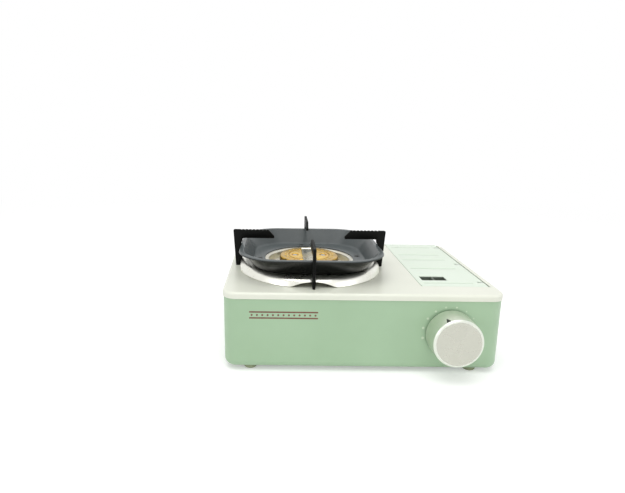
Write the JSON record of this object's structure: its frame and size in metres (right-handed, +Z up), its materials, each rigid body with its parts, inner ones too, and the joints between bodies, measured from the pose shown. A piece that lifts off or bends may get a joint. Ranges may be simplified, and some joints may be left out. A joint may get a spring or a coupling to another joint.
{
  "type": "butane cassette stove",
  "caption": "Compact tabletop gas stove with a lift-off trivet over a round burner, a front gas knob and a hinged lid over its cartridge bay.",
  "frame": {"origin": "centre of the object's bounding box, on the ground under the feet", "axes": "+X to the right as seen from the knob's side, +Y to the back, +Z up"},
  "size_m": [0.275, 0.224, 0.123],
  "materials": {
    "tub_paint": "satin mint green paint",
    "plate_paint": "satin cream white paint",
    "lid_paint": "satin cream white paint with a green tint",
    "foot_rubber": "matt grey-green rubber",
    "zinc_steel": "plated sheet steel",
    "cast_alloy": "as cast",
    "stainless": "satin stainless steel",
    "polished_stainless": "polished stainless steel",
    "burner_brass": "machined brass",
    "brass_fitting": "turned brass",
    "white_ceramic": "glazed ceramic",
    "black_enamel": "glossy black enamel",
    "grip_plastic": "dark moulded plastic",
    "black_plastic": "black moulded plastic",
    "seal_rubber": "black rubber",
    "magnet": "sintered ferrite",
    "lead_sleeve": "red silicone sleeve",
    "knob_metal": "satin turned aluminium",
    "knob_face": "spun brushed aluminium"
  },
  "bodies": {
    "casing": {"body_shell": "tub_paint", "top_plate": "plate_paint", "foot_front_left": "foot_rubber", "foot_front_right": "foot_rubber", "foot_rear_left": "foot_rubber", "foot_rear_right": "foot_rubber", "plate_posts": "zinc_steel", "post_screws": "zinc_steel", "floor_screws": "zinc_steel", "burner_stand": "zinc_steel", "piezo_bracket": "zinc_steel", "regulator_bracket": "zinc_steel", "heat_shield": "zinc_steel", "bay_cradle": "zinc_steel", "cradle_saddles": "zinc_steel", "burner_bowl": "cast_alloy", "mixing_tube": "zinc_steel", "burner_head": "stainless", "flame_cap_left": "burner_brass", "flame_cap_right": "burner_brass", "cap_screws": "stainless", "electrode_ceramic": "white_ceramic", "electrode_wire": "stainless", "electrode_bracket": "zinc_steel", "hinge_ears": "zinc_steel", "hinge_pin": "stainless", "regulator_body": "cast_alloy", "regulator_bonnet": "zinc_steel", "regulator_diaphragm": "seal_rubber", "can_collar": "cast_alloy", "socket_magnet": "magnet", "socket_nipple": "brass_fitting", "socket_seal": "seal_rubber", "gas_pipe": "brass_fitting", "pipe_nut": "brass_fitting", "gas_nozzle": "brass_fitting", "nozzle_bracket": "zinc_steel", "piezo_unit": "black_plastic", "igniter_lead": "lead_sleeve"},
    "trivet": {"drip_pan": "polished_stainless", "support_tray": "black_enamel", "pan_support_right": "black_enamel", "pan_support_back": "black_enamel", "pan_support_left": "black_enamel", "pan_support_front": "black_enamel", "trivet_rivets": "stainless"},
    "knob": {"knob_shell": "knob_metal", "knob_cap": "knob_face", "knob_pointer": "black_plastic", "valve_spindle": "zinc_steel", "igniter_cam": "black_plastic"},
    "lid": {"cartridge_lid": "lid_paint", "lid_grip": "grip_plastic"},
    "plunger": {"piezo_plunger": "black_plastic"}
  },
  "joints": [
    {"name": "knob_turn", "type": "hinge", "parent": "casing", "child": "knob", "pos_m": [0.0845, 0.012, 0.0425], "axis": [0, -1, 0], "range_deg": [0, 110]},
    {"name": "lid_open", "type": "hinge", "parent": "casing", "child": "lid", "pos_m": [0.1286, 0.012, 0.0789], "axis": [0, 1, 0], "range_deg": [0, 95]},
    {"name": "trivet_lift", "type": "slide", "parent": "casing", "child": "trivet", "axis": [0, 0, 1], "range_m": [0, 0.06]},
    {"name": "plunger_press", "type": "slide", "parent": "casing", "child": "plunger", "axis": [-1, 0, 0], "range_m": [0, 0.0045]}
  ],
  "couplings": [
    {"joint": "plunger_press", "follows": "knob_turn", "m_per_rad": 0.0020835}
  ]
}
